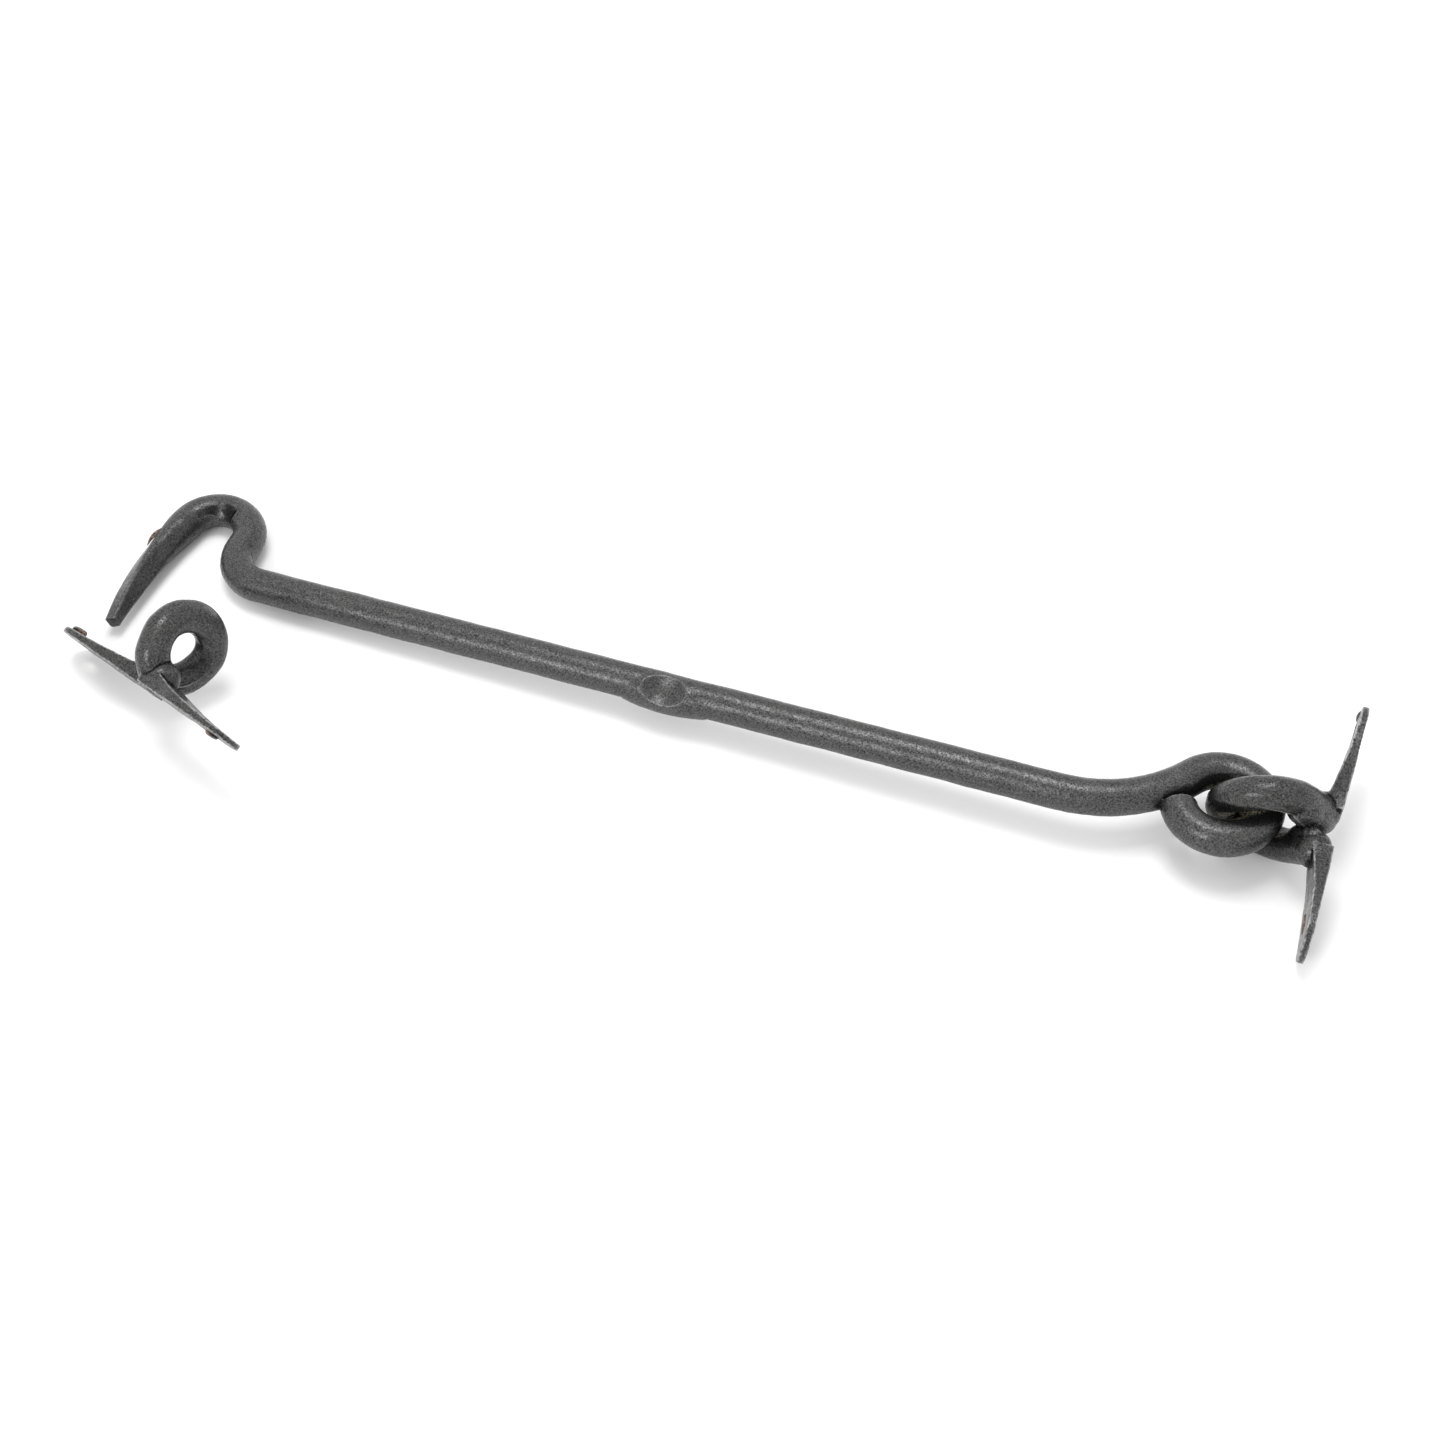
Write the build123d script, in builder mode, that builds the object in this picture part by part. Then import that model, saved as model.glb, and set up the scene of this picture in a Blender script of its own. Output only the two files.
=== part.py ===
"""Forged cabin hook with its two screw-on staples, lying ready on a bench.

The hook is one round bar: a tapered bill, a swan neck, a straight shank with a thumb dimple and
a rolled eye. Each staple is one bar coiled into a ring, with its two ends hammered into feet.
The pivot staple's ring is linked through the hook's eye. The keeper staple lies loose.

Bench frame, mm: +X runs along the shank from the hook to the eye, Z = 0 is the bench top.
"""
from build123d import *
import os
from math import acos, atan2, cos, degrees, radians, sin, tan

os.makedirs("parts", exist_ok=True)

# --- hook bar -------------------------------------------------------------------------------
BAR_D = 9.5              # round bar of the hook
NECK_START = 16.2        # where the shank ends and the swan neck begins, from the bar's zero
NECK_R = 10.9            # swan neck, centreline
NECK_RUN = 2.1           # straight piece between the neck and the throat
THROAT_R = 10.5          # first part of the hook's bend, centreline
THROAT_TURN = 108.8      # degrees
SHOULDER_R = 8.9         # second, tighter part of the bend
SHOULDER_TURN = 60.8
BILL_R = 123.0           # the bill's slight bow
BILL_TURN = 19.4
BILL_FULL = 3.3          # length of bill that keeps the full bar section
BILL_TIP_W = 3.7         # side of the squared, blunt tip
BILL_TAPER = 0.8         # below 1 the bill thins faster near its root
BILL_TIP_CORNER = 0.9    # corner radius there
BILL_ROOT_ROLL = 64.0    # the squared bill's faces are turned about its length, and twist a little
BILL_TIP_ROLL = 20.0
BILL_SECTIONS = 6
BILL_FIT = 0.995         # the first section stands just inside the round bar
BILL_ROUND = 0.499       # a section's corner as a share of its side, where it is still round
BILL_SQUARE = 0.62       # share of the bill after which the corners are fully squared
EYE_R = 10.8             # rolled eye, centreline
EYE_X = 281.6            # eye centre along the shank
EYE_Y = 9.15             # eye centre above the shank's axis
EYE_NECK_R = 38.0        # sweep of the shank up into the eye
EYE_TURN = 303.0         # degrees of eye, up to the cut end beside the neck
DIMPLE_X = 137.5         # thumb dimple, from the bar's zero
DIMPLE_TILT = 34.0       # degrees that the dimple leans towards -Y
DIMPLE_BALL_R = 9.5      # ball punch that made it
DIMPLE_DEPTH = 2.6
SPREAD_R = 5.5           # bar spread by the punch
SPREAD_HALF = 11.5       # half length of the spread
SPREAD_SINK = 0.5        # the spread's ends dip this far inside the bar
SPREAD_ASIDE = 0.8       # the metal went to the -Y side more

# --- staples --------------------------------------------------------------------------------
STAPLE_D = 9.0           # round bar of a staple
RING_PITCH = 9.1         # side step of the coil in one turn
FOOT_W = 15.0            # widest part of a foot
FOOT_ROOT_T = 5.4        # thickness where the hammered foot starts
FOOT_TIP_T = 1.8
FOOT_SHOULDER = 0.3      # share of the foot where its outline has flared to FOOT_SHOULDER_W
FOOT_SHOULDER_W = 13.2
FOOT_THIN = 0.38         # share of the foot at which its slope's control point stands
FOOT_THIN_T = 2.2        # height of that control point
ROOT_END = 6.4           # where the round bar ends and the foot starts
SCREW_D = 5.0            # screw hole

# Each staple was bent by hand: the ring's centreline radius, neck height, twist of the ring,
# where the bar leaves the ring, from the ring's middle to each foot's tip, and the distance of
# each screw hole from its tip.
PIVOT = dict(ring_r=10.1, neck=3.5, twist=-8.0, leave=145.0, halves=(36.4, 35.6),
             hole_insets=(6.5, 9.6))
KEEPER = dict(ring_r=9.75, neck=-1.3, twist=-13.0, leave=146.0, halves=(37.2, 38.8),
              hole_insets=(12.5, 7.5))

# --- how the pieces lie ---------------------------------------------------------------------
GROUP_MIDDLE = (143.62, -10.54)   # middle of the whole group in plan, from the bar's zero
BAR_REST_X = -15.5       # the bar touches the bench here
EYE_HEIGHT = 14.86       # the eye's bar above the bench, where it runs through the pivot ring
RING_OFFSET = (-0.5, 0, 0.16)   # the ring's middle from the eye's bar, inside the link's slack
PIVOT_YAW = 90.0         # direction of its +x foot in plan
PIVOT_RISE = 13.6        # that foot's rise
PIVOT_ROLL = 1.0        # how far the wall normal leans
KEEPER_PLACE = (12.6, -50.25, 14.44)   # from the bar's zero, and above the bench
KEEPER_YAW = -20.2
KEEPER_RISE = 3.9
KEEPER_ROLL = 22.9

bar_r = BAR_D / 2
staple_r = STAPLE_D / 2


def foot_frame(origin, yaw, rise, roll):
    """Wall plane of a staple: x along the feet, z out of the wall. Roll 0 has z level."""
    yaw, rise, roll = radians(yaw), radians(rise), radians(roll)
    along = Vector(cos(rise) * cos(yaw), cos(rise) * sin(yaw), sin(rise))
    level = Vector(-sin(yaw), cos(yaw), 0)
    return Plane(origin=origin, x_dir=along, z_dir=level * cos(roll) + along.cross(level) * sin(roll))


# --- the hook bar ---------------------------------------------------------------------------
eye_bar_x = EYE_X + EYE_R                      # bar of the eye that runs through the pivot ring
rise = atan2(EYE_HEIGHT - bar_r, eye_bar_x - BAR_REST_X)
to_bench = Vector(-GROUP_MIDDLE[0], -GROUP_MIDDLE[1], 0)
bar_zero = to_bench + Vector(0, 0, bar_r - BAR_REST_X * tan(rise))
bar_plane = Plane(origin=bar_zero, x_dir=(cos(rise), 0, sin(rise)), z_dir=(-sin(rise), 0, cos(rise)))

eye_neck_turn = degrees(acos((EYE_NECK_R - EYE_Y) / (EYE_NECK_R + EYE_R)))
eye_neck_x = EYE_X - (EYE_NECK_R + EYE_R) * sin(radians(eye_neck_turn))

dimple_lean = Rotation(DIMPLE_TILT, 0, 0)
dimple_plane = Plane(bar_plane.location * Pos(DIMPLE_X, 0, 0) * dimple_lean)   # z out of the dimple
spread_plane = Plane(dimple_plane.location * Pos(0, -SPREAD_ASIDE, 0))

with BuildPart() as hook_bar:
    with BuildLine(bar_plane) as hook_line:
        neck = JernArc(start=(NECK_START, 0), tangent=(-1, 0), radius=NECK_R, arc_size=-90)
        run = Line(neck @ 1, neck @ 1 + (neck % 1) * NECK_RUN)
        throat = JernArc(start=run @ 1, tangent=run % 1, radius=THROAT_R, arc_size=THROAT_TURN)
        shoulder = JernArc(start=throat @ 1, tangent=throat % 1, radius=SHOULDER_R,
                           arc_size=SHOULDER_TURN)
        bill_full_turn = degrees(BILL_FULL / BILL_R)
        bill_root = JernArc(start=shoulder @ 1, tangent=shoulder % 1, radius=BILL_R,
                            arc_size=bill_full_turn)
        shank = Line((NECK_START, 0), (eye_neck_x, 0))
        eye_neck = JernArc(start=shank @ 1, tangent=(1, 0), radius=EYE_NECK_R,
                           arc_size=eye_neck_turn)
        eye = JernArc(start=eye_neck @ 1, tangent=eye_neck % 1, radius=EYE_R, arc_size=-EYE_TURN)
    with BuildSketch(Plane(origin=bill_root @ 1, z_dir=bill_root % 1)):
        Circle(bar_r)
    sweep(path=hook_line.wires()[0])

    # the bill tapers along the rest of its bow and is hammered square
    with BuildLine(bar_plane) as bill_line:
        bill = JernArc(start=bill_root @ 1, tangent=bill_root % 1, radius=BILL_R,
                       arc_size=BILL_TURN - bill_full_turn)
    for step in range(BILL_SECTIONS):
        along = step / (BILL_SECTIONS - 1)
        with BuildSketch(Plane(origin=bill @ along, x_dir=bar_plane.z_dir, z_dir=bill % along)):
            side = BAR_D * BILL_FIT + (BILL_TIP_W - BAR_D) * along**BILL_TAPER
            round_corner = side * BILL_ROUND
            squared = min(1, along / BILL_SQUARE)
            corner = round_corner + (BILL_TIP_CORNER - round_corner) * squared
            roll = BILL_ROOT_ROLL + (BILL_TIP_ROLL - BILL_ROOT_ROLL) * along
            RectangleRounded(side, side, corner, rotation=roll)
    loft()

    # the thumb dimple: a ball punch sinks in and spreads the bar beside it
    with BuildSketch(spread_plane):
        with BuildLine():
            spread = ThreePointArc((-SPREAD_HALF, bar_r - SPREAD_SINK), (0, SPREAD_R),
                                   (SPREAD_HALF, bar_r - SPREAD_SINK))
            Polyline(spread @ 0, (-SPREAD_HALF, 0), (SPREAD_HALF, 0), spread @ 1)
        make_face()
    revolve(axis=Axis(spread_plane.origin, spread_plane.x_dir))
    with Locations(dimple_plane.offset(SPREAD_R - DIMPLE_DEPTH + DIMPLE_BALL_R)):
        Sphere(DIMPLE_BALL_R, mode=Mode.SUBTRACT)
hook_bar.part.label = "hook_bar"
export_step(hook_bar.part, "parts/hook_bar.step")


# --- the staples ----------------------------------------------------------------------------
def staple_bar_ends(side, ring_r, twist, leave, ring_z):
    """One side of the coil: the ring's top, middle and leaving points, and the corner by the wall.

    A half turn is a plane arc from the ring's top, tilted so that it ends half a pitch aside.
    """
    turn = Rotation(0, 0, twist)
    middle = turn * Pos(side * RING_PITCH / 4, 0, ring_z)
    top = Vector(0, 0, ring_z + ring_r)
    to_top = top - middle.position
    aside = Vector(0, -side, 0).rotate(Axis.Z, twist)
    radius = to_top.length

    def on_arc(angle):
        angle = radians(angle)
        return middle.position + to_top * cos(angle) + aside * (radius * sin(angle))

    end = on_arc(leave)
    way = aside * cos(radians(leave)) - to_top.normalized() * sin(radians(leave))
    corner = end + way * ((end.Z - staple_r) / -way.Z)
    return top, on_arc(leave / 2), end, corner


def foot_blade(side, corner, half, hole_inset):
    """A foot hammered out of the bar's end, flat on the wall, with its screw hole."""
    root = ROOT_END
    length = half - root
    with BuildPart() as blade:
        with BuildSketch(Plane.XY):
            with BuildLine():
                tip_start = half - FOOT_W / 2
                near = Line((abs(corner.X), -staple_r), (root, -staple_r))
                shoulder_x = root + length * FOOT_SHOULDER
                flare = Spline(near @ 1, (shoulder_x, -FOOT_SHOULDER_W / 2), (tip_start, -FOOT_W / 2),
                               tangents=((1, 0), (1, 0)))
                tip = ThreePointArc(flare @ 1, (half, 0), (tip_start, FOOT_W / 2))
                back = Spline(tip @ 1, (shoulder_x, FOOT_SHOULDER_W / 2), (root, staple_r),
                              tangents=((-1, 0), (-1, 0)))
                Polyline(back @ 1, (abs(corner.X), staple_r), near @ 0)
            make_face()
        extrude(amount=STAPLE_D)
        with BuildSketch(Plane.XZ):
            with BuildLine():
                taper = Bezier((root, FOOT_ROOT_T), (root + length * FOOT_THIN, FOOT_THIN_T),
                               (half, FOOT_TIP_T))
                Polyline(taper @ 1, (half, 0), (abs(corner.X), 0),
                         (abs(corner.X), FOOT_ROOT_T), taper @ 0)
            make_face()
        extrude(amount=FOOT_W, both=True, mode=Mode.INTERSECT)
        with Locations((half - hole_inset, 0, 0)):
            Hole(SCREW_D / 2)
    turned = blade.part if side > 0 else blade.part.rotate(Axis.Z, 180)
    return turned.moved(Pos(0, corner.Y, 0))


def staple_shape(ring_r, neck, twist, leave, halves, hole_insets):
    """A staple in its own frame: z = 0 on the wall, x along the feet, ring over the middle."""
    ring_z = staple_r + neck + ring_r
    plus = staple_bar_ends(1, ring_r, twist, leave, ring_z)
    minus = staple_bar_ends(-1, ring_r, twist, leave, ring_z)
    blades = [foot_blade(1, plus[3], halves[0], hole_insets[0]),
              foot_blade(-1, minus[3], halves[1], hole_insets[1])]
    with BuildPart() as staple:
        with BuildLine() as coil:
            Line(minus[3], minus[2])
            ThreePointArc(minus[2], minus[1], minus[0])
            ThreePointArc(plus[0], plus[1], plus[2])
            Line(plus[2], plus[3])
        with BuildSketch(Plane(origin=minus[3], z_dir=minus[2] - minus[3])):
            Circle(staple_r)
        sweep(path=coil.wires()[0])
        for side, ends in ((1, plus), (-1, minus)):
            corner = ends[3]
            with BuildSketch(Plane(origin=corner, z_dir=(side, 0, 0))):
                Circle(staple_r)
            extrude(amount=ROOT_END - abs(corner.X))
            with Locations(corner, (side * ROOT_END, corner.Y, staple_r)):
                Sphere(staple_r)
        for blade in blades:
            add(blade)
    return staple.part


pivot_ring_z = staple_r + PIVOT["neck"] + PIVOT["ring_r"]
eye_bar = bar_plane.from_local_coords((eye_bar_x, EYE_Y, 0))
pivot_out = foot_frame((0, 0, 0), PIVOT_YAW, PIVOT_RISE, PIVOT_ROLL).z_dir
pivot_ring = eye_bar + Vector(RING_OFFSET)
pivot_wall = foot_frame(pivot_ring - pivot_out * pivot_ring_z, PIVOT_YAW, PIVOT_RISE, PIVOT_ROLL)
keeper_wall = foot_frame(to_bench + Vector(KEEPER_PLACE), KEEPER_YAW, KEEPER_RISE, KEEPER_ROLL)

pivot_shape = pivot_wall * staple_shape(**PIVOT)
keeper_shape = keeper_wall * staple_shape(**KEEPER)

with BuildPart() as pivot_staple:
    add(pivot_shape)
with BuildPart() as keeper_staple:
    add(keeper_shape)

pivot_staple.part.label = "pivot_staple"
keeper_staple.part.label = "keeper_staple"
export_step(pivot_staple.part, "parts/pivot_staple.step")
export_step(keeper_staple.part, "parts/keeper_staple.step")

pieces = (hook_bar, pivot_staple, keeper_staple)
print("whole group:", Compound([piece.part for piece in pieces]).bounding_box())
print("clearance in the link:", hook_bar.part.distance_to(pivot_staple.part))
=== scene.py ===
"""Looks for the forged cabin hook: hammered skins, black coat, burrs, floor, light and camera.

Places are in the part's own frame. Lengths in the tables are in mm, and angles in degrees. Each CAD
piece is copied into a fine even mesh, which is then worked like the real bar: unevenness of the
hammer, added metal, a flattened band in the bend, ridges, marks round the rings and burrs at the
screw holes. Edges, creases and rubbed, closed-in and bare areas are written to attributes that the
coat reads. The closed-in and crease shares are painted shade, fitted by grey level.
"""
from math import cos, radians, sin

import bmesh
import bpy
import numpy as np
from mathutils import Matrix, Vector, noise
from mathutils.bvhtree import BVHTree


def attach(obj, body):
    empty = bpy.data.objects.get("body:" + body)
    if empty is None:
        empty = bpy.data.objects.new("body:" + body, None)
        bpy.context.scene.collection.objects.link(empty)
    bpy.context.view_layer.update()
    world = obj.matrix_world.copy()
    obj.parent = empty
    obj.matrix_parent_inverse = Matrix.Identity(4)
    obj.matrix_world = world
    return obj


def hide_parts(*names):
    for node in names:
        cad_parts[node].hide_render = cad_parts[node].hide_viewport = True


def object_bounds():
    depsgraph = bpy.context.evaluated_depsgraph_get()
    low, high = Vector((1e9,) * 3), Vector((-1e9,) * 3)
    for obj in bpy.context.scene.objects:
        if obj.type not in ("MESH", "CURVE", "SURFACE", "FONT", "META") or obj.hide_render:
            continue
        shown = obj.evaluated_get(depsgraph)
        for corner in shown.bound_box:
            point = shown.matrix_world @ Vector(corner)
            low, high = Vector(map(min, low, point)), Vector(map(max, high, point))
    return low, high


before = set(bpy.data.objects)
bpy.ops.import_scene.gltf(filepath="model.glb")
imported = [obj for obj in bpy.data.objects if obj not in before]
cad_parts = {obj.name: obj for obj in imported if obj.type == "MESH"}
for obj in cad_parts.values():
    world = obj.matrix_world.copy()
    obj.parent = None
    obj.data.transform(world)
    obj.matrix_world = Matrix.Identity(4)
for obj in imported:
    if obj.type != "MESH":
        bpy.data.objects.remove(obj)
cad_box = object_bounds()

MM = 0.001

# --- camera ---------------------------------------------------------------------------------
AZIMUTH = 20.21                # how far the view is turned to the left of +Y
ELEVATION = 50
LENS = 55.38
SENSOR = 36
NEAREST = 10                   # the camera's near limit
DISTANCE = 587.9
AIM = (6.28, 17.69, 4.5)
AIM_BELOW = 6.71               # the aim point stands this far above the frame's middle

# --- floor and light ------------------------------------------------------------------------
FLOOR_SIZE = 30                # m
FLOOR_GREY = 0.8
FLOOR_ROUGHNESS = 0.9
FLOOR_SPECULAR = 0.1
WORLD_LEVEL = 1.1
BOX_DISTANCE = 1.5             # m, from the object's middle to each soft box
BOX_SIZE = 0.6                 # m
# Azimuth and elevation of each soft box, and its watts. Over 90 it leans past the zenith.
SOFT_BOXES = {"top_box": (30, 101, 11), "front_box": (-20, 33, 9)}

# --- skins ----------------------------------------------------------------------------------
# voxel: grid of the skin; seed: of its unevenness; waves: (feature size, height) of each layer;
# beads: (end, end, radius) of each lump of added metal, fused to the skin.
HOOK = dict(node="hook_bar", slot="hook_black", voxel=0.29, seed=30,
            waves=((9.0, 0.12), (3.2, 0.045), (1.3, 0.015)), beads=())

# The pivot's two legs are upset where they pass each other. The last bead is a screw hole's burr.
PIVOT = dict(node="pivot_staple", slot="staple_black", voxel=0.27, seed=40,
             waves=((6.5, 0.22), (2.6, 0.075), (1.2, 0.020)),
             beads=(((158.9, 21.2, 18.6), (162.0, 23.8, 13.8), 4.3),
                    ((156.4, 19.0, 21.2), (158.9, 21.0, 18.4), 4.1),
                    ((157.3, 17.8, 13.6), (160.4, 16.0, 16.8), 2.9),
                    ((164.4, 52.3, 21.4), (164.4, 54.2, 21.9), 0.80)))

# The keeper's beads are the burrs beside its two screw holes.
KEEPER = dict(node="keeper_staple", slot="staple_black", voxel=0.27, seed=50,
              waves=((6.5, 0.20), (2.6, 0.070), (1.2, 0.020)),
              beads=(((-161.4, -23.6, 8.2), (-164.6, -22.5, 7.9), 1.15),
                     ((-106.0, -51.6, 21.6), (-102.9, -52.9, 21.8), 0.75)))
PIECES = (HOOK, PIVOT, KEEPER)

BEAD_SUBDIVISIONS = 3
WELD_GAP = 0.002
SMOOTH_FACTOR = 0.5
SMOOTH_PASSES = 3
NOISE_STEP = Vector((17.3, 5.1, 29.7))   # way from one seed's noise to the next one's
WAVES_SINK = 0.35              # the waves' middle lies this share of their height inside the bar

# --- hammering ------------------------------------------------------------------------------
# The flattened band along the inner side of the bend: middle and radius of the bar's turn, angles
# where it starts and ends and over which it fades in and out, how far it tips upward, its height
# over the bar's centre, how far from that centre the bar reaches, the patch size, height and seed
# of its unevenness, and the depth from which it is all band.
BEND_BAND = dict(middle=(-148.3, 23.9, 5.0), radius=10.3, start=58, end=172, fade_in=9, fade_out=45,
                 tilt=44, height=4.25, reach=6.5, uneven=(4.0, 0.12, 71), full=0.15)

# Ridges of the hook: the two ends of each line, its half width and its height.
HOOK_RIDGES = (
    ((-134.0, 20.1, 7.8), (-132.0, 17.1, 5.0), 0.45, 0.22),
    ((-133.4, 18.8, 7.3), (-130.4, 15.7, 8.4), 0.40, 0.15),
)

# The knuckle where the keeper's coil runs into its foot is pressed in.
KNUCKLE = dict(middle=(-120.9, -39.5, 23.8), reach=5.5, depth=0.45)

# Hammer marks round the rings: centre, axis and radius of the ring, and the seed of the marks.
PIVOT_RING = dict(centre=(148.1, 19.7, 15.0), axis=(0.0, 0.93, 0.37), radius=10.1, seed=5.5)
KEEPER_RING = dict(centre=(-127.2, -28.4, 19.5), axis=(0.87, -0.41, 0.27), radius=9.75, seed=8.2)
MARK_HEIGHT = 0.25
MARKS_SINK = 0.3               # share of that height by which the marks' middle lies inside
MARK_REACH = 7                 # from the bar's centre line
MARK_FADE = 2
MARKS_ALONG = 0.9              # how often the marks change along the bar and across it
MARKS_ACROSS = 1.7

# Screw holes: way out of the wall, then for each hole its middle on the wall side, the way to its
# burr, the burr's face (1 front, -1 wall side) and height, and how bare the metal is there.
PIVOT_HOLES = dict(out=(-1.0, 0, 0.017),
                   holes=(((166.2, 49.1, 20.7), (0, 0.97, 0.23), 1, 0.3, 0),
                          ((166.2, -5.8, 9.7), (0, 0.3, -0.1), 1, 0.5, 1)))
KEEPER_HOLES = dict(out=(0.293, 0.874, 0.388),
                    holes=(((-109.0, -50.2, 21.5), (0.94, -0.34, 0.07), -1, 0.3, 1),
                           ((-159.2, -26.9, 6.9), (-0.94, 0.34, -0.07), 1, 0.3, 1)))
SCREW_R = 2.5
BURR_REACH = 2.2               # from the hole's rim
BURR_BARE = 1.5                # the bare metal ends this many burr reaches from the rim
BURR_SIDE = 1.4                # hole radii over which it fades towards the hole's other side
BURR_FACING = 0.3              # skin turned less than this towards the burr's face isn't raised
BURR_RAGGED = (0.7, 0.6, 2.4, 51)   # mean height, variation, patch size and seed

# Flake of scale on the bill's outer edge.
FLAP = dict(middle=(-162.6, 16.2, 7.6), along=(0.20, 0.97, 0.12), out=(-0.88, 0.16, 0.45),
            length=7.4, width=1.1, thick=0.35)
FLAP_ROWS, FLAP_COLUMNS = 14, 5
FLAP_SUNK = 0.35               # depth of its root in the bar
FLAP_CURL = 0.25
FLAP_RAGGED = 0.12
FLAP_NOISE = (0.7, 0.9, 3.3)   # steps of its noise along rows and columns, and the noise's place
FLAP_WELD = 0.01

# --- edges, wear and shade ------------------------------------------------------------------
# Bend of the surface, in radians a mm, where each share starts and over which it fills.
EDGE_BEND = (0.25, 0.9)
CREASE_BEND = (0.05, 0.5)
RUB_REACH = 1.9                # the link's two bars are rubbed where they come this near
RUB_GAIN = 1.6
CONTACT_SHADE = 0.9             # how dark the painted shade is where the link's bars meet, and how steeply it gets so
CONTACT_GAIN, CONTACT_FROM = 1.2, 0.2
# Painted shade in closed-in places: rays from each point find the metal round it.
CLOSED_REACH = 16              # metal nearer than this closes a point in
CLOSED_GAIN = 2.8
RAY_START = 0.6                # over the skin

# The band's painted shade is patchy: mean, variation, patch size and seed.
BAND_SHADE = (0.75, 0.9, 3.4, 91)
# The bill is to the left of this X and in front of this Y, with these fades; its inner face gets this
# share of painted shade, where its normal's X is over about this much.
BILL_X, BILL_X_FADE = -149.0, 2
BILL_Y, BILL_Y_FADE = 30.0, 6
BILL_FACING, BILL_SHADE = 0.35, 0.42
# The punched hollow at mid length is spared most of the painted shade.
HOLLOW = (-6.2, 10.5, 9.8)
HOLLOW_REACH, HOLLOW_FADE, HOLLOW_SHADE_CUT = 8, 2, 0.75

# --- coat -----------------------------------------------------------------------------------
BLACK_DARK = (0.004, 0.004, 0.0042, 1)
BLACK_PALE = (0.012, 0.0122, 0.012, 1)
SAND = (0.060, 0.061, 0.059, 1)
SPECK = (0.24, 0.24, 0.22, 1)
# Colours of the painted shade in closed-in places and in creases.
CLOSED_SHADE = (0.003, 0.003, 0.003, 1)
CREASE_SHADE = (0.002, 0.002, 0.002, 1)
RUBBED = (0.50, 0.46, 0.30, 1)
RUST_DARK = (0.030, 0.015, 0.010, 1)
RUST_PALE = (0.20, 0.138, 0.105, 1)

# Patterns: feature size, detail and roughness of the noise, and its levels that become 0 and 1.
SAND_GRAIN = (0.42, 3, 0.7, 0.38, 0.66)
BLACK_CLOUDS = (5.0, 3, 0.6, 0.35, 0.65)
SPECK_GROUPS = (3.4, 2, 0.5, 0.50, 0.58)
WORN_PATCHES = (1.1, 4, 0.6, 0.36, 0.60)
RUBBED_PATCHES = (0.55, 3, 0.6, 0.47, 0.52)
RUST_PATCHES = (0.6, 4, 0.6, 0.38, 0.62)
BARE_PATCHES = (0.8, 4, 0.6, 0.30, 0.46)
ROUGH_PATCHES = (1.6, 4, 0.65, 0.3, 0.7)
SHINE_GRAIN = (0.45, 3, 0.7, 0.36, 0.64)
PEEL = (1.5, 2, 0.5)           # size, detail and roughness only
GRAIN = (0.40, 2, 0.65)
PEEL_HEIGHT, GRAIN_HEIGHT, SPECK_HEIGHT = 0.04, 0.035, 0.08
SPECK_GAP = 1.5                # between specks
SPECK_RIM = (0.04, 0.12)       # in gaps, where a speck ends
SPECK_SHARE, WORN_SHARE, CLOSED_SHADE_SHARE = 0.8, 0.8, 0.85
WORN_LEAST = 0.25
# Painted shade also cuts the gloss in creases and closed-in places.
CREASE_SHADE_SHINE, CLOSED_SHADE_SHINE = 0.15, 0.20   # share of the gloss that is left there

# Grey of the worn edges, and the ranges of specular level and roughness.
COATS = {"hook_black": (0.16, (0.14, 0.80), (0.24, 0.42)),
         "staple_black": (0.34, (0.06, 0.66), (0.19, 0.37))}


# --- mesh work ------------------------------------------------------------------------------
def cloud(points, size, seed):
    """Smooth noise from -1 to 1 over the points, with features of about this size in metres."""
    shift = NOISE_STEP * seed
    return np.array([noise.noise(Vector(point) / size + shift) for point in points])


def smooth_step(x):
    x = np.clip(x, 0, 1)
    return x * x * (3 - 2 * x)


def read(mesh, what):
    values = np.empty(len(mesh.vertices) * 3)
    mesh.vertices.foreach_get(what, values)
    return values.reshape(-1, 3)


def write_points(mesh, points):
    """Moves the mesh's points, and keeps them inside the CAD model's box."""
    low, high = (np.array(corner) for corner in cad_box)
    mesh.vertices.foreach_set("co", np.clip(points, low, high).ravel())
    mesh.update()


def write_shares(mesh, **shares):
    """Writes each named share, one for the whole mesh or one a point, for the coat to read."""
    for name, values in shares.items():
        layer = mesh.attributes.new(name, "FLOAT", "POINT")
        layer.data.foreach_set("value", np.broadcast_to(values, len(mesh.vertices)).astype(float))


def add_bead(mesh, start, end, radius):
    """Joins a rounded bead to the mesh, to be fused by the remesh."""
    start, end = Vector(start) * MM, Vector(end) * MM
    turn = (end - start).to_track_quat("Z", "Y").to_matrix().to_4x4()
    stretch = Matrix.Diagonal((1, 1, 1 + (end - start).length / (2 * radius * MM), 1))
    work = bmesh.new()
    work.from_mesh(mesh)
    bmesh.ops.create_icosphere(work, subdivisions=BEAD_SUBDIVISIONS, radius=radius * MM,
                               matrix=Matrix.Translation((start + end) / 2) @ turn @ stretch)
    work.to_mesh(mesh)
    work.free()


def link_piece(name, mesh):
    piece = bpy.data.objects.new(name, mesh)
    bpy.context.scene.collection.objects.link(piece)
    return piece


def shade_smooth(mesh):
    mesh.polygons.foreach_set("use_smooth", [True] * len(mesh.polygons))


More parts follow.
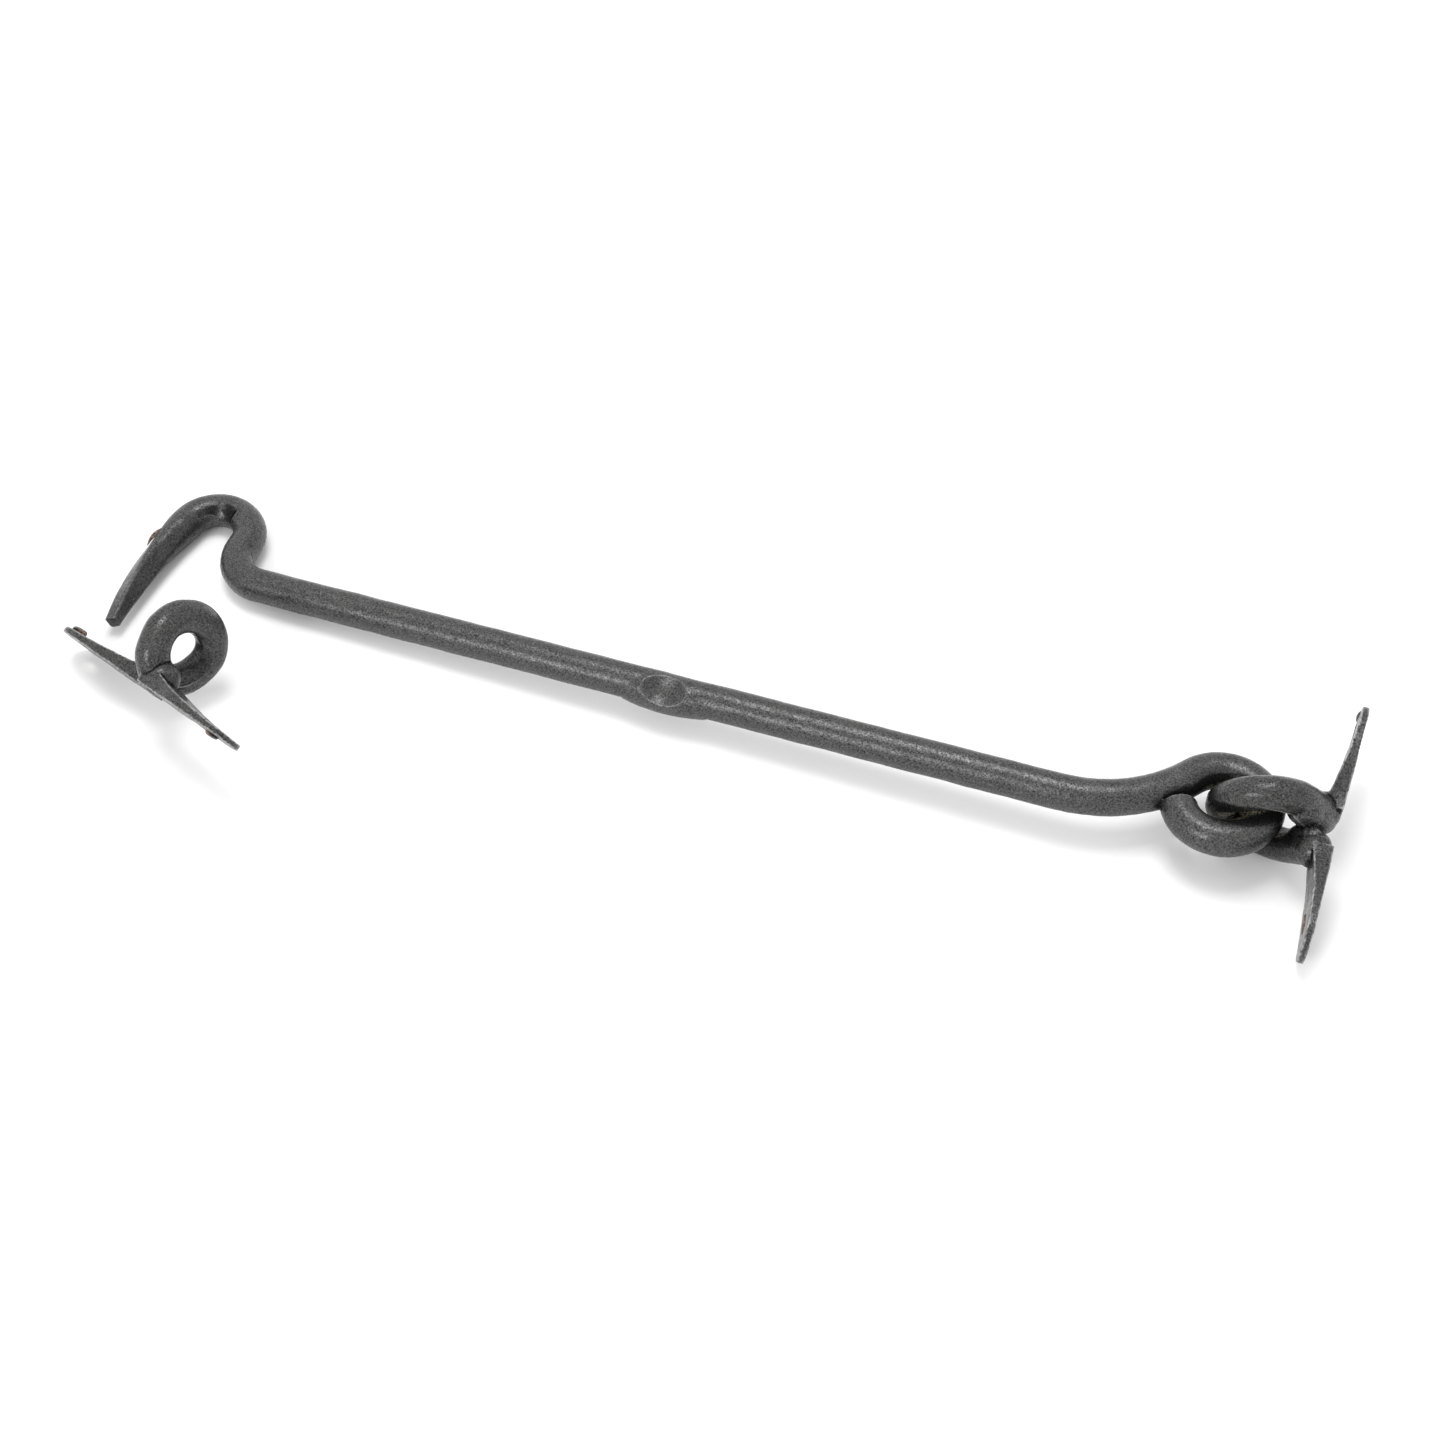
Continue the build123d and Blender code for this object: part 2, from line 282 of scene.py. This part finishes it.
def make_skin(node, voxel, beads, waves, seed):
    """A fine, even copy of a CAD node's mesh, with beads fused to it and the hammer's unevenness."""
    piece = link_piece(node + "_skin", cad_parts[node].data.copy())
    for bead in beads:
        add_bead(piece.data, *bead)
    weld = piece.modifiers.new("weld", "WELD")
    weld.merge_threshold = WELD_GAP * MM
    remesh = piece.modifiers.new("remesh", "REMESH")
    remesh.mode = "VOXEL"
    remesh.voxel_size = voxel * MM
    smooth = piece.modifiers.new("smooth", "SMOOTH")
    smooth.factor = SMOOTH_FACTOR
    smooth.iterations = SMOOTH_PASSES
    evaluated = piece.evaluated_get(bpy.context.evaluated_depsgraph_get())
    mesh = bpy.data.meshes.new_from_object(evaluated)
    piece.modifiers.clear()
    piece.data = mesh
    shade_smooth(mesh)
    add_waves(mesh, waves, seed)
    return piece


def add_waves(mesh, waves, seed):
    """Unevenness along the normal. It mostly goes inwards, so that the bar keeps its size."""
    points, normals = read(mesh, "co"), read(mesh, "normal")
    lift = np.zeros(len(points))
    for layer, (size, height) in enumerate(waves):
        lift += height * MM * (cloud(points, size * MM, seed + layer) - WAVES_SINK)
    write_points(mesh, points + normals * lift[:, None])


def add_band(mesh, middle, radius, start, end, fade_in, fade_out, tilt, height, reach, uneven, full):
    """Hammers the inner side of a turn flat. Returns the band's share at each point."""
    points, normals = read(mesh, "co"), read(mesh, "normal")
    from_middle = points - np.array(middle) * MM
    angle = np.arctan2(from_middle[:, 1], from_middle[:, 0])
    outward = np.stack([np.cos(angle), np.sin(angle), np.zeros(len(points))], axis=1)
    facing = np.array([0, 0, sin(radians(tilt))]) - outward * cos(radians(tilt))
    away = from_middle - outward * radius * MM
    degrees_in = np.degrees(angle) % 360
    share = smooth_step((degrees_in - start) / fade_in) * smooth_step((end - degrees_in) / fade_out)
    patch, variation, seed = uneven
    level = height + variation * cloud(points, patch * MM, seed)
    over = (away * facing).sum(axis=1) - level * MM
    near = np.linalg.norm(away, axis=1) < reach * MM
    push = np.clip(over, 0, None) * share * near * ((normals * facing).sum(axis=1) > 0)
    write_points(mesh, points - facing * push[:, None])
    return smooth_step(push / (full * MM))


def add_coil_marks(mesh, centre, axis, radius, seed):
    """Long hammer marks that follow a ring round: facets across the bar, drawn out along it."""
    points, normals = read(mesh, "co"), read(mesh, "normal")
    first = np.array(Vector(axis).orthogonal().normalized())
    axis = np.array(Vector(axis).normalized())
    second = np.cross(axis, first)
    away = points - np.array(centre) * MM
    along_axis = away @ axis
    flat = away - np.outer(along_axis, axis)
    outside = np.linalg.norm(flat, axis=1) - radius * MM
    round_ring = np.arctan2(flat @ second, flat @ first)
    round_bar = np.arctan2(along_axis, outside)
    share = smooth_step((MARK_REACH * MM - np.hypot(along_axis, outside)) / (MARK_FADE * MM))
    marks = []
    for ring, bar in zip(round_ring, round_bar):
        place = Vector((MARKS_ALONG * cos(ring), MARKS_ALONG * sin(ring), seed))
        place += Vector((MARKS_ACROSS * cos(bar), 0, MARKS_ACROSS * sin(bar)))
        marks.append(noise.noise(place))
    lift = share * (np.array(marks) - MARKS_SINK) * MARK_HEIGHT * MM
    write_points(mesh, points + normals * lift[:, None])


def press_in(mesh, middle, reach, depth):
    points, normals = read(mesh, "co"), read(mesh, "normal")
    share = smooth_step(1 - np.linalg.norm(points - np.array(middle) * MM, axis=1) / (reach * MM))
    write_points(mesh, points - normals * (share * depth * MM)[:, None])


def add_ridges(mesh, ridges):
    points, normals = read(mesh, "co"), read(mesh, "normal")
    lift = np.zeros(len(points))
    for start, end, half_width, height in ridges:
        start, end = np.array(start) * MM, np.array(end) * MM
        along = end - start
        share = np.clip((points - start) @ along / (along @ along), 0, 1)
        gap = np.linalg.norm(points - start - np.outer(share, along), axis=1)
        ends = np.sqrt(np.clip(4 * share * (1 - share), 0, 1))
        lift += height * MM * ends * smooth_step(1 - gap / (half_width * MM))
    write_points(mesh, points + normals * lift[:, None])


def add_burrs(mesh, out, holes):
    """Raises a ragged rim round each screw hole. Returns how bare the metal is there."""
    points, normals = read(mesh, "co"), read(mesh, "normal")
    out = np.array(Vector(out).normalized())
    mean, variation, patch, seed = BURR_RAGGED
    ragged = mean + variation * cloud(points, patch * MM, seed)
    lift, bare = np.zeros(len(points)), np.zeros(len(points))
    for middle, way, face, height, bareness in holes:
        away = points - np.array(middle) * MM
        from_axis = np.linalg.norm(away - np.outer(away @ out, out), axis=1)
        from_rim = (from_axis - SCREW_R * MM) / (BURR_REACH * MM)
        on_side = smooth_step(0.5 + away @ np.array(way) / (SCREW_R * MM * BURR_SIDE))
        rim = smooth_step(1 - from_rim) * on_side
        rim *= normals @ out * face > BURR_FACING
        lift += height * MM * rim * ragged * face
        bare = np.maximum(bare, smooth_step(BURR_BARE - from_rim) * on_side * bareness)
    write_points(mesh, points + np.outer(lift, out))
    return bare


def make_flap(middle, along, out, length, width, thick):
    """A leaf-shaped flake of scale that stands off the bar's edge."""
    along, out = Vector(along).normalized(), Vector(out).normalized()
    side = along.cross(out)
    row_step, column_step, level = FLAP_NOISE
    work = bmesh.new()
    grid = []
    for i in range(FLAP_ROWS):
        share = i / (FLAP_ROWS - 1) * 2 - 1
        stand = (1 - share * share) * width
        row = []
        for j in range(FLAP_COLUMNS):
            up = j / (FLAP_COLUMNS - 1)
            ragged = FLAP_RAGGED * noise.noise(Vector((i * row_step, j * column_step, level)))
            place = Vector(middle) + along * (share * length / 2) + out * (stand * up - FLAP_SUNK)
            row.append(work.verts.new((place + side * (FLAP_CURL * up * up + ragged)) * MM))
        grid.append(row)
    for row, above in zip(grid, grid[1:]):
        for j in range(FLAP_COLUMNS - 1):
            work.faces.new((row[j], above[j], above[j + 1], row[j + 1]))
    bmesh.ops.remove_doubles(work, verts=work.verts, dist=FLAP_WELD * MM)
    bmesh.ops.recalc_face_normals(work, faces=work.faces)
    bmesh.ops.solidify(work, geom=work.faces, thickness=thick * MM)
    mesh = bpy.data.meshes.new("bill_flap")
    work.to_mesh(mesh)
    work.free()
    shade_smooth(mesh)
    return link_piece("bill_flap", mesh)


# --- shares that the coat reads -------------------------------------------------------------
def edges_and_creases(mesh):
    """Two shares, each 0 on the round bar: one rises to 1 along crisp edges, the other, painted shade, in
    creases.
    """
    points, normals = read(mesh, "co"), read(mesh, "normal")
    pairs = np.empty(len(mesh.edges) * 2, dtype=np.int64)
    mesh.edges.foreach_get("vertices", pairs)
    pairs = pairs.reshape(-1, 2)
    step = points[pairs[:, 0]] - points[pairs[:, 1]]
    turn = normals[pairs[:, 0]] - normals[pairs[:, 1]]
    bend = (turn * step).sum(axis=1) / (step**2).sum(axis=1)
    total = np.bincount(pairs.ravel(), np.repeat(bend, 2), len(points))
    count = np.bincount(pairs.ravel(), minlength=len(points))
    bend = total / count * MM
    edge = smooth_step((bend - EDGE_BEND[0]) / EDGE_BEND[1])
    crease = smooth_step((-bend - CREASE_BEND[0]) / CREASE_BEND[1])
    return edge, crease


def tree_of(mesh):
    return BVHTree.FromPolygons([v.co for v in mesh.vertices], [p.vertices for p in mesh.polygons])


def nearness(mesh, other, reach):
    """1 where the mesh meets the other mesh, falling to 0 at this distance from it."""
    tree = tree_of(other)
    found = [tree.find_nearest(v.co, reach)[3] for v in mesh.vertices]
    return np.array([0 if gap is None else 1 - gap / reach for gap in found])


def enclosure(mesh, trees, reach):
    """How closed in each point is: the share of rays round its normal that soon meet the metal."""
    total = np.zeros(len(mesh.vertices))
    for index, vertex in enumerate(mesh.vertices):
        normal = vertex.normal
        aside = normal.orthogonal().normalized()
        across = normal.cross(aside)
        start = vertex.co + normal * RAY_START * MM
        ways = (normal, normal + aside, normal - aside, normal + across, normal - across)
        for way in ways:
            gaps = [tree.ray_cast(start, way, reach)[3] for tree in trees]
            gap = min((g for g in gaps if g is not None), default=reach)
            total[index] += 1 - gap / reach
    return total / len(ways)


def shade_hook(mesh, closed, band):
    """Adds painted shade on the band and the bill's inner face, and spares the hollow most of the painted
    shade.
    """
    points, normals = read(mesh, "co"), read(mesh, "normal")
    on_bill = smooth_step((BILL_X * MM - points[:, 0]) / (BILL_X_FADE * MM))
    on_bill *= smooth_step((BILL_Y * MM - points[:, 1]) / (BILL_Y_FADE * MM))
    inner_face_shade = on_bill * smooth_step(normals[:, 0] / BILL_FACING) * BILL_SHADE
    # Painted shade on the hammered band, in patches.
    mean, variation, patch, seed = BAND_SHADE
    band_shade = band * smooth_step(mean - variation * cloud(points, patch * MM, seed))
    closed = np.maximum(np.maximum(closed, band_shade), inner_face_shade)
    from_hollow = np.linalg.norm(points - np.array(HOLLOW) * MM, axis=1)
    in_hollow = smooth_step((HOLLOW_REACH * MM - from_hollow) / (HOLLOW_FADE * MM))
    return closed * (1 - HOLLOW_SHADE_CUT * in_hollow)


# --- materials ------------------------------------------------------------------------------
class Nodes:
    """Short spellings for building one material's node tree."""

    def __init__(self, name):
        self.material = bpy.data.materials.new(name)
        self.material.use_nodes = True
        self.tree = self.material.node_tree
        self.shader = self.tree.nodes["Principled BSDF"]
        self.place = self.tree.nodes.new("ShaderNodeTexCoord").outputs["Object"]

    def link(self, value, socket):
        if isinstance(value, bpy.types.NodeSocket):
            self.tree.links.new(value, socket)
        else:
            socket.default_value = value

    def noise(self, size, detail, roughness):
        """Noise from about 0.25 to 0.75 with features of this size in mm."""
        node = self.tree.nodes.new("ShaderNodeTexNoise")
        self.link(self.place, node.inputs["Vector"])
        node.inputs["Scale"].default_value = 1 / (size * MM)
        node.inputs["Detail"].default_value = detail
        node.inputs["Roughness"].default_value = roughness
        return node.outputs["Fac"]

    def patches(self, size, detail, roughness, low, high, to_low=0.0, to_high=1.0):
        """Noise whose levels from low to high are spread smoothly over the second range."""
        return self.ramp(self.noise(size, detail, roughness), low, high, to_low, to_high)

    def spots(self, gap):
        """Distance from the nearest of scattered points this far apart in mm, 0 to about 1."""
        node = self.tree.nodes.new("ShaderNodeTexVoronoi")
        self.link(self.place, node.inputs["Vector"])
        node.inputs["Scale"].default_value = 1 / (gap * MM)
        return node.outputs["Distance"]

    def attribute(self, name):
        node = self.tree.nodes.new("ShaderNodeAttribute")
        node.attribute_name = name
        return node.outputs["Fac"]

    def ramp(self, value, low, high, to_low=0.0, to_high=1.0):
        node = self.tree.nodes.new("ShaderNodeMapRange")
        node.interpolation_type = "SMOOTHSTEP"
        for socket, setting in zip(node.inputs, (value, low, high, to_low, to_high)):
            self.link(setting, socket)
        return node.outputs["Result"]

    def times(self, a, b):
        node = self.tree.nodes.new("ShaderNodeMath")
        node.operation = "MULTIPLY"
        self.link(a, node.inputs[0])
        self.link(b, node.inputs[1])
        return node.outputs["Value"]

    def mix(self, share, a, b):
        node = self.tree.nodes.new("ShaderNodeMix")
        node.data_type = "RGBA"
        colour_a, colour_b = [s for s in node.inputs if s.type == "RGBA"]
        self.link(share, node.inputs["Factor"])
        self.link(a, colour_a)
        self.link(b, colour_b)
        return [s for s in node.outputs if s.type == "RGBA"][0]

    def bump(self, height, distance, normal=None):
        """Bump whose full range of height stands this many mm tall."""
        node = self.tree.nodes.new("ShaderNodeBump")
        node.inputs["Distance"].default_value = distance * MM
        node.inputs["Strength"].default_value = 1
        self.link(height, node.inputs["Height"])
        if normal is not None:
            self.link(normal, node.inputs["Normal"])
        return node.outputs["Normal"]


def black_coat(name, worn_level, shine_range, rough_range):
    """Satin black over forged scale: sandy grain, pale specks, worn edges, painted shade in creases and
    closed-in places, bare metal.
    """
    nodes = Nodes(name)
    black = nodes.mix(nodes.patches(*BLACK_CLOUDS), BLACK_DARK, BLACK_PALE)
    colour = nodes.mix(nodes.patches(*SAND_GRAIN), black, SAND)
    specks = nodes.times(nodes.ramp(nodes.spots(SPECK_GAP), *SPECK_RIM, 1, 0),
                         nodes.patches(*SPECK_GROUPS))
    colour = nodes.mix(nodes.times(specks, SPECK_SHARE), colour, SPECK)
    worn = nodes.times(nodes.attribute("edge"), nodes.patches(*WORN_PATCHES, WORN_LEAST, 1))
    colour = nodes.mix(nodes.times(worn, WORN_SHARE), colour, (worn_level, worn_level, worn_level, 1))
    # Painted shade: darker in closed-in places and in creases.
    closed = nodes.attribute("closed")
    colour = nodes.mix(nodes.times(closed, CLOSED_SHADE_SHARE), colour, CLOSED_SHADE)
    crease = nodes.attribute("crease")
    colour = nodes.mix(crease, colour, CREASE_SHADE)
    rubbed = nodes.times(nodes.attribute("rub"), nodes.patches(*RUBBED_PATCHES))
    colour = nodes.mix(rubbed, colour, RUBBED)
    rust = nodes.mix(nodes.patches(*RUST_PATCHES), RUST_DARK, RUST_PALE)
    bare = nodes.times(nodes.attribute("bare"), nodes.patches(*BARE_PATCHES))
    nodes.link(nodes.mix(bare, colour, rust), nodes.shader.inputs["Base Color"])
    nodes.link(nodes.patches(*ROUGH_PATCHES, *rough_range), nodes.shader.inputs["Roughness"])
    shine = nodes.patches(*SHINE_GRAIN, *shine_range)
    # Painted shade dulls the gloss in creases and closed-in places.
    shine = nodes.times(shine, nodes.ramp(crease, 0, 1, 1, CREASE_SHADE_SHINE))
    shine = nodes.times(shine, nodes.ramp(closed, 0, 1, 1, CLOSED_SHADE_SHINE))
    nodes.link(shine, nodes.shader.inputs["Specular IOR Level"])
    peel = nodes.bump(nodes.noise(*PEEL), PEEL_HEIGHT)
    grain = nodes.bump(nodes.noise(*GRAIN), GRAIN_HEIGHT, peel)
    nodes.link(nodes.bump(specks, SPECK_HEIGHT, grain), nodes.shader.inputs["Normal"])
    return nodes.material


# --- camera, floor and light ----------------------------------------------------------------
def make_camera():
    azimuth, elevation = radians(AZIMUTH), radians(ELEVATION)
    forward = Vector((-sin(azimuth) * cos(elevation), cos(azimuth) * cos(elevation), -sin(elevation)))
    right = Vector((cos(azimuth), sin(azimuth), 0))
    up = right.cross(forward)
    data = bpy.data.cameras.new("camera")
    data.lens = LENS
    data.sensor_width = SENSOR
    data.clip_start = NEAREST * MM
    camera = bpy.data.objects.new("camera", data)
    turn = Matrix((right, up, -forward)).transposed()
    place = Vector(AIM) * MM - forward * (DISTANCE * MM) - up * (AIM_BELOW * MM)
    camera.matrix_world = Matrix.Translation(place) @ turn.to_4x4()
    bpy.context.scene.collection.objects.link(camera)
    bpy.context.scene.camera = camera


def make_floor():
    bpy.ops.mesh.primitive_plane_add(size=FLOOR_SIZE, location=(0, 0, cad_box[0][2]))
    floor = bpy.context.object
    floor.name = "floor"
    material = bpy.data.materials.new("floor")
    material.use_nodes = True
    shader = material.node_tree.nodes["Principled BSDF"]
    shader.inputs["Base Color"].default_value = (FLOOR_GREY, FLOOR_GREY, FLOOR_GREY, 1)
    shader.inputs["Roughness"].default_value = FLOOR_ROUGHNESS
    shader.inputs["Specular IOR Level"].default_value = FLOOR_SPECULAR
    floor.data.materials.append(material)


def soft_box(name, azimuth, elevation, power):
    """A square area light that faces the object's middle, seen from it at this azimuth and elevation."""
    azimuth, elevation = radians(azimuth), radians(elevation)
    way = Vector((sin(azimuth) * cos(elevation), -cos(azimuth) * cos(elevation), sin(elevation)))
    turn = way.to_track_quat("Z", "Y").to_matrix().to_4x4()
    data = bpy.data.lights.new(name, "AREA")
    data.shape = "SQUARE"
    data.size = BOX_SIZE
    data.energy = power
    lamp = bpy.data.objects.new(name, data)
    lamp.matrix_world = Matrix.Translation(way * BOX_DISTANCE) @ turn
    bpy.context.scene.collection.objects.link(lamp)


def make_light():
    world = bpy.data.worlds.new("studio")
    world.use_nodes = True
    background = world.node_tree.nodes["Background"]
    background.inputs["Color"].default_value = (1, 1, 1, 1)
    background.inputs["Strength"].default_value = WORLD_LEVEL
    bpy.context.scene.world = world
    for name, settings in SOFT_BOXES.items():
        soft_box(name, *settings)
    bpy.context.scene.view_settings.view_transform = "Standard"


# --- the scene ------------------------------------------------------------------------------
make_camera()
make_floor()
make_light()
coats = {slot: black_coat(slot, *settings) for slot, settings in COATS.items()}

skins = {}
for settings in PIECES:
    node = settings["node"]
    skins[node] = make_skin(node, settings["voxel"], settings["beads"], settings["waves"], settings["seed"])
hook, pivot, keeper = (skins[settings["node"]].data for settings in PIECES)

band = add_band(hook, **BEND_BAND)
add_ridges(hook, HOOK_RIDGES)
add_coil_marks(pivot, **PIVOT_RING)
add_coil_marks(keeper, **KEEPER_RING)
press_in(keeper, **KNUCKLE)
bare = {"hook_bar": 0,
        "pivot_staple": add_burrs(pivot, **PIVOT_HOLES),
        "keeper_staple": add_burrs(keeper, **KEEPER_HOLES)}
rub = {"hook_bar": nearness(hook, pivot, RUB_REACH * MM),
       "pivot_staple": nearness(pivot, hook, RUB_REACH * MM),
       "keeper_staple": np.zeros(len(keeper.vertices))}

trees = [tree_of(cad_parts[node].data) for node in skins]
for settings in PIECES:
    node = settings["node"]
    piece = skins[node]
    mesh = piece.data
    edge, crease = edges_and_creases(mesh)
    # Painted shade in creases and where the link's bars meet.
    contact_shade = smooth_step(rub[node] * CONTACT_GAIN - CONTACT_FROM) * CONTACT_SHADE
    # Painted shade in closed-in places, from how much metal closes each point in.
    closed = smooth_step(enclosure(mesh, trees, CLOSED_REACH * MM) * CLOSED_GAIN)
    if node == "hook_bar":
        closed = shade_hook(mesh, closed, band)
    write_shares(mesh, edge=edge, crease=np.maximum(crease, contact_shade), rub=smooth_step(rub[node] * RUB_GAIN),
                 closed=closed, bare=bare[node])
    mesh.materials.clear()
    mesh.materials.append(coats[settings["slot"]])
    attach(piece, node)
    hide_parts(node)

flap = make_flap(**FLAP)
write_shares(flap.data, edge=1, crease=0, closed=0, rub=0, bare=1)
flap.data.materials.append(coats[HOOK["slot"]])
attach(flap, "hook_bar")
